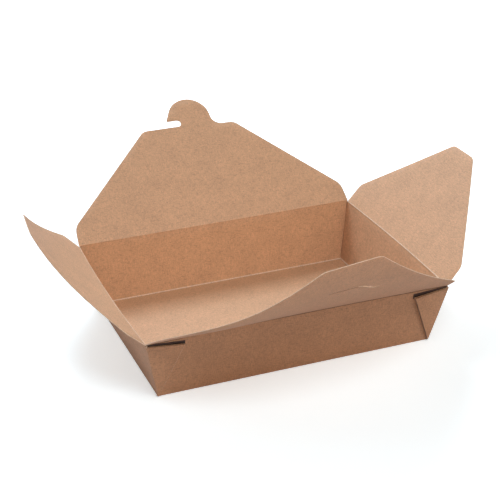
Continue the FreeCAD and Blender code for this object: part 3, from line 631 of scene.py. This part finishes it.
# the pressed fold between a wall and its flap: a thin strip with a rounded top on the fold line
def makeFoldLine(name, half, place, yaw, bow, inner, f):
    workOn(frame["nodes"]["tray"])
    bpy.ops.mesh.primitive_cylinder_add(vertices=f["sides"], radius=f["radius"], depth=2 * half)
    strip = bpy.context.object
    strip.name = name
    strip.rotation_euler = (0, math.pi / 2, 0)
    settle(strip)
    cutAt(strip, (0, 0, 0), (0, 0, -1), drop=True)
    pickVerts(strip, lambda co: abs(co.z) < tiny)
    bpy.ops.mesh.extrude_region_move(TRANSFORM_OT_translate={"value": (0, 0, -f["lower"])})
    closeUp(strip)
    cutRows(strip, 0, -half, half, f["columns"])
    strip.rotation_euler = (-math.radians(f["lean"]), 0, 0)
    settle(strip)
    for vert in strip.data.vertices:
        vert.co.y += bowAt(bow, vert.co.x / half) - (f["recess"] if vert.co.y > 0 else f["ridge"])
    strip.rotation_euler = (0, 0, math.radians(yaw))
    strip.location = place
    settle(strip)
    smooth(strip, f["smoothAngle"])
    out = Vector((-math.sin(math.radians(yaw)), math.cos(math.radians(yaw)), 0))
    # painted shade on the strip's outer side; the inner side takes the given material
    strip.data.materials.append(inner)
    strip.data.materials.append(kraftPaintedShade)
    for face in strip.data.polygons:
        face.material_index = 1 if face.normal.dot(out) > 0.1 else 0
    rideTray(strip)


for lineName, line in foldLine["lines"].items():
    makeFoldLine(lineName, *line, foldLine)
print("fold lines done")

crease = {
    "halfLong": 98.0 * mm, "halfWide": 69.42 * mm, "up": 0.55 * mm,     # place of the creases
    "radius": 0.5 * mm, "sides": 12, "cut": 0.1 * mm,                   # cut off this far past the axis
    "tip": 1.5 * mm, "tipSize": 0.3,                                    # drawn-in ends
    "smoothAngle": 40,
}


# the raised bead that a crease leaves on the inside of the board: a flattened round with drawn-in ends
def makeBead(name, start, end, corner, f):
    along = Vector(end) - Vector(start)
    middle = (Vector(end) + Vector(start)) / 2
    half = along.length / 2
    workOn(frame["nodes"]["tray"])
    bpy.ops.mesh.primitive_cylinder_add(vertices=f["sides"], radius=f["radius"], depth=2 * half)
    bead = bpy.context.object
    bead.name = name
    for way in (-1, 1):
        pickVerts(bead, lambda co: co.z * way > half - tiny)
        bpy.ops.mesh.extrude_region_move(TRANSFORM_OT_translate={"value": (0, 0, way * f["tip"])})
        bpy.ops.transform.resize(value=(f["tipSize"], f["tipSize"], 1))
        bpy.ops.object.mode_set(mode="OBJECT")
    bead.rotation_euler = along.to_track_quat("Z", "Y").to_euler()
    bead.location = middle
    settle(bead)
    outward = Vector(corner).normalized()
    cutAt(bead, middle + outward * f["cut"], outward, drop=True)
    closeUp(bead)
    smooth(bead, f["smoothAngle"])
    # painted highlight on the faces that look up, painted shade on the rest
    bead.data.materials.append(kraftEdgeAndHighlight)
    bead.data.materials.append(kraftPaintedShade)
    for face in bead.data.polygons:
        face.material_index = 0 if face.normal.z > 0.1 else 1
    rideTray(bead)


long, wide, up = crease["halfLong"], crease["halfWide"], crease["up"]
for way, word in ((-1, "Front"), (1, "Back")):
    makeBead("bead" + word, (-long, way * wide, up), (long, way * wide, up), (0, way, -1), crease)
for way, word in ((-1, "Left"), (1, "Right")):
    makeBead("bead" + word, (way * long, -wide, up), (way * long, wide, up), (way, 0, -1), crease)
print("crease beads done")

studio = {
    "floorSize": 14, "floorDrop": 0.05 * mm,
    "floorColour": (0.80, 0.80, 0.80), "floorSeen": (0.79, 0.91, 0.96),
    # glow that the camera sees: near the box, far from it, and between which distances it rises
    "floorGlow": (0.48, 1.0, 0.16, 1.2),
    "domeColour": (1.0, 1.0, 1.0), "dome": 0.02,
    # name: place, size, power and colour of each soft box
    "lamps": {
        "backTopLamp": ((0, 1.0, 1.35), 0.6, 12.6, (0.95, 1.05, 1.13)),
        "backLamp": ((0, 1.45, 0.9), 1.2, 11.4, (0.98, 1.03, 1.08)),
        "backLeftLamp": ((-1.05, 1.05, 0.95), 1.2, 6.6, (1.0, 1.0, 1.0)),
        "frontTopLamp": ((0, -0.9, 1.35), 0.6, 9.3, (1.0, 1.0, 1.03)),
        "frontRightLamp": ((1.05, -1.05, 0.95), 1.2, 7.5, (1.0, 0.86, 0.72)),
        "frontLowLamp": ((-0.8, -1.2, 0.35), 1.2, 3.3, (1.0, 0.80, 0.68)),
    },
}


# a pale floor that takes the box's shadow; the camera sees it lifted a little, without the warm bounce
def makeFloor(s):
    workOn(frame["nodes"]["tray"])
    bpy.ops.mesh.primitive_plane_add(size=s["floorSize"], location=(0, 0, -s["floorDrop"]))
    floor = bpy.context.object
    floor.name = "floorSheet"
    settle(floor)
    material = bpy.data.materials.new("paleFloor")
    material.use_nodes = True
    nodes = material.node_tree.nodes
    links = material.node_tree.links
    nodes.clear()
    output = nodes.new("ShaderNodeOutputMaterial")
    path = nodes.new("ShaderNodeLightPath")
    plain = nodes.new("ShaderNodeBsdfDiffuse")
    plain.inputs["Color"].default_value = (*s["floorColour"], 1)
    seen = nodes.new("ShaderNodeBsdfDiffuse")
    seen.inputs["Color"].default_value = (*s["floorSeen"], 1)
    glow = nodes.new("ShaderNodeEmission")
    coords = nodes.new("ShaderNodeTexCoord")
    away = nodes.new("ShaderNodeVectorMath")
    away.operation = "LENGTH"
    rise = nodes.new("ShaderNodeMapRange")
    near, far, start, end = s["floorGlow"]
    rise.inputs["From Min"].default_value = start
    rise.inputs["From Max"].default_value = end
    rise.inputs["To Min"].default_value = near
    rise.inputs["To Max"].default_value = far
    links.new(coords.outputs["Object"], away.inputs[0])
    links.new(away.outputs["Value"], rise.inputs["Value"])
    links.new(rise.outputs["Result"], glow.inputs["Strength"])
    lifted = nodes.new("ShaderNodeAddShader")
    mix = nodes.new("ShaderNodeMixShader")
    links.new(seen.outputs[0], lifted.inputs[0])
    links.new(glow.outputs[0], lifted.inputs[1])
    links.new(path.outputs["Is Camera Ray"], mix.inputs["Fac"])
    links.new(plain.outputs[0], mix.inputs[1])
    links.new(lifted.outputs[0], mix.inputs[2])
    links.new(mix.outputs[0], output.inputs["Surface"])
    floor.data.materials.append(material)


# a faint dome of light, and white where the camera sees past the floor
def makeWorld(s):
    world = bpy.data.worlds.new("studio")
    bpy.context.scene.world = world
    world.use_nodes = True
    nodes = world.node_tree.nodes
    links = world.node_tree.links
    nodes.clear()
    output = nodes.new("ShaderNodeOutputWorld")
    path = nodes.new("ShaderNodeLightPath")
    dome = nodes.new("ShaderNodeBackground")
    dome.inputs["Color"].default_value = (*s["domeColour"], 1)
    dome.inputs["Strength"].default_value = s["dome"]
    white = nodes.new("ShaderNodeBackground")
    white.inputs["Strength"].default_value = 1
    mix = nodes.new("ShaderNodeMixShader")
    links.new(path.outputs["Is Camera Ray"], mix.inputs["Fac"])
    links.new(dome.outputs[0], mix.inputs[1])
    links.new(white.outputs[0], mix.inputs[2])
    links.new(mix.outputs[0], output.inputs["Surface"])


def makeLamp(name, place, size, power, colour):
    bpy.ops.object.light_add(type="AREA", location=place)
    lamp = bpy.context.object
    lamp.name = name
    lamp.data.size = size
    lamp.data.energy = power
    lamp.data.color = colour
    lamp.rotation_euler = (-Vector(place)).to_track_quat("-Z", "Y").to_euler()


makeFloor(studio)
makeWorld(studio)
for lampName, lamp in studio["lamps"].items():
    makeLamp(lampName, *lamp)

camera = {
    "place": (-0.32117, -0.79922, 0.46692), "lens": 98.49, "sensor": 36, "clipStart": 0.01,
    "right": (0.9286, -0.3711, -0.0085), "up": (0.1667, 0.3966, 0.9027),     # of its picture
}


def makeCamera(c):
    bpy.ops.object.camera_add(location=c["place"])
    view = bpy.context.object
    view.name = "photoCamera"
    right = Vector(c["right"]).normalized()
    up = Vector(c["up"])
    up = (up - right * up.dot(right)).normalized()
    back = right.cross(up)
    view.rotation_euler = Matrix((right, up, back)).transposed().to_euler()
    view.data.lens = c["lens"]
    view.data.sensor_width = c["sensor"]
    view.data.clip_start = c["clipStart"]
    bpy.context.scene.camera = view


makeCamera(camera)
bpy.context.scene.view_settings.view_transform = "Standard"
print("studio ready")
